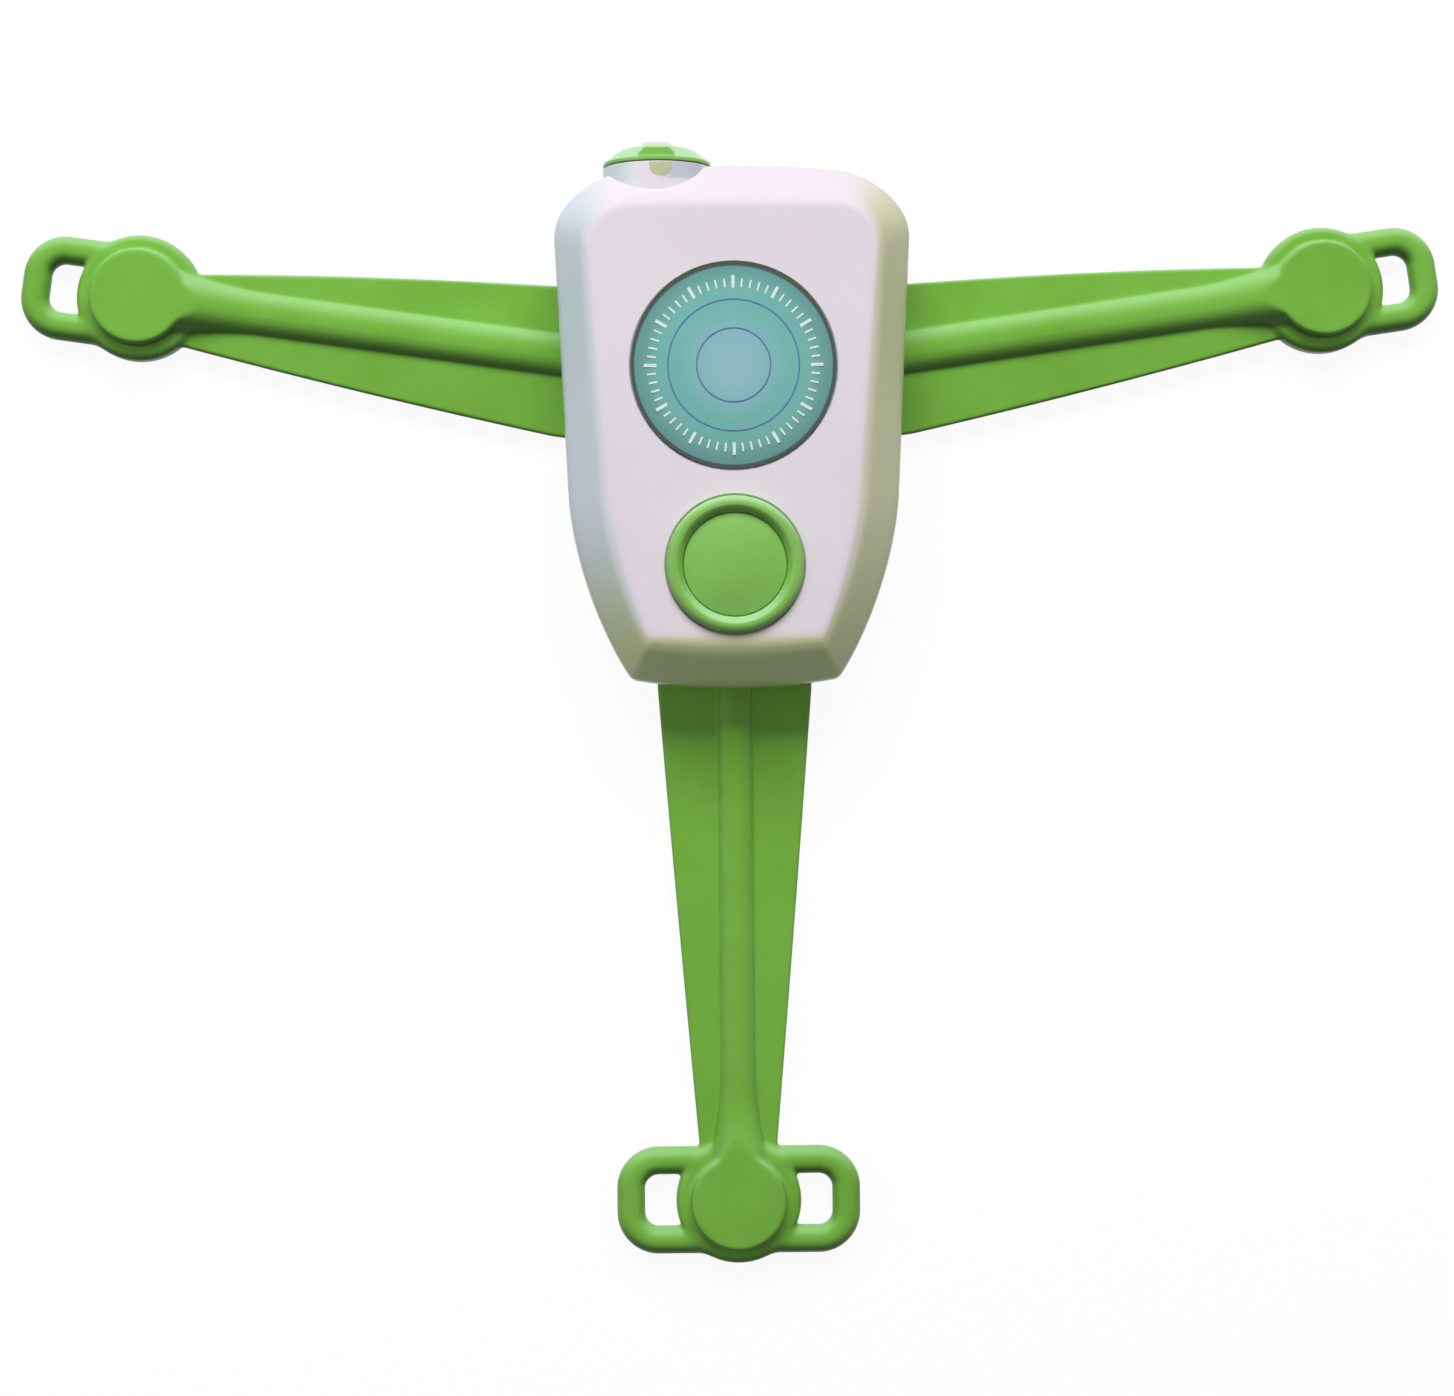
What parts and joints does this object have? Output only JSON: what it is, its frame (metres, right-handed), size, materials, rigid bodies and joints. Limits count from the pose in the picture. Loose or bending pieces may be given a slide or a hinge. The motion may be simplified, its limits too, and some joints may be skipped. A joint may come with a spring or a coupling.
{
  "type": "holter monitor",
  "caption": "Wearable heart recorder: bevelled shield-shaped housing, event button, round battery cap, and flexible silicone arms ending in electrode heads with strap loops.",
  "frame": {"origin": "centre of the housing's flat rear face, the face worn against the chest", "axes": "+Z out of the front face, +Y up the face towards the battery cap, +X to the viewer's right, seen from the front"},
  "size_m": [0.2556, 0.1994, 0.0237],
  "materials": {
    "housing": "glossy moulded ABS",
    "button": "glossy moulded ABS",
    "silicone": "satin moulded silicone",
    "label": "clear domed label over a printed film",
    "seal": "matt rubber",
    "steel": "bright stainless",
    "contact": "plated spring brass",
    "board": "solder-masked laminate",
    "component": "moulded epoxy",
    "inner_moulding": "natural nylon",
    "cell": "printed foil wrap",
    "lead": "soft sheath"
  },
  "bodies": {
    "recorder": {"front_cover": "housing", "rear_cover": "housing", "cover_seal": "seal", "cover_screw_1": "steel", "cover_screw_2": "steel", "cover_screw_3": "steel", "cover_screw_4": "steel", "label_dome": "label", "button_rim": "button", "main_board": "board", "tact_switch": "component", "controller_chip": "component", "memory_chip": "component", "ecg_chip": "component", "battery_tube": "inner_moulding", "battery_cell": "cell", "battery_spring": "steel", "battery_contact": "contact", "left_arm_root": "silicone", "right_arm_root": "silicone", "lower_arm_root": "silicone", "left_lead_tail": "lead", "right_lead_tail": "lead", "lower_lead_tail": "lead", "left_lead_terminal": "inner_moulding", "right_lead_terminal": "inner_moulding", "lower_lead_terminal": "inner_moulding"},
    "button": {"event_button": "button", "switch_plunger": "inner_moulding"},
    "contact_carrier": {"cap_contact": "contact"},
    "cap": {"battery_cap": "button", "cap_seal": "seal"},
    "left_arm": {"left_arm": "silicone", "left_snap_socket": "steel", "left_snap_spring": "contact", "left_lead": "lead"},
    "right_arm": {"right_arm": "silicone", "right_snap_socket": "steel", "right_snap_spring": "contact", "right_lead": "lead"},
    "lower_arm": {"lower_arm": "silicone", "lower_snap_socket": "steel", "lower_snap_spring": "contact", "lower_lead": "lead"}
  },
  "joints": [
    {"name": "event_button_press", "type": "slide", "parent": "recorder", "child": "button", "axis": [0, 0, -1], "range_m": [0, 0.0008], "stiffness_N_per_m": 900},
    {"name": "cap_rise", "type": "slide", "parent": "recorder", "child": "contact_carrier", "axis": [0, 1, 0], "range_m": [0, 0.0015]},
    {"name": "cap_turn", "type": "hinge", "parent": "contact_carrier", "child": "cap", "pos_m": [-0.0131, 0.0463, 0.0104], "axis": [0, 1, 0], "range_deg": [0, 90]},
    {"name": "left_arm_flex", "type": "hinge", "parent": "recorder", "child": "left_arm", "pos_m": [-0.03681, 0.01468, 0.0032], "axis": [0.1426, 0.9898, 0], "range_deg": [-30, 30], "stiffness_Nm_per_rad": 0.03},
    {"name": "right_arm_flex", "type": "hinge", "parent": "recorder", "child": "right_arm", "pos_m": [0.03681, 0.01468, 0.0032], "axis": [0.1426, -0.9898, 0], "range_deg": [-30, 30], "stiffness_Nm_per_rad": 0.03},
    {"name": "lower_arm_flex", "type": "hinge", "parent": "recorder", "child": "lower_arm", "pos_m": [0, -0.0525, 0.0032], "axis": [-1, 0, 0], "range_deg": [-30, 30], "stiffness_Nm_per_rad": 0.03}
  ],
  "couplings": [
    {"joint": "cap_rise", "follows": "cap_turn", "m_per_rad": 0.00095493}
  ]
}
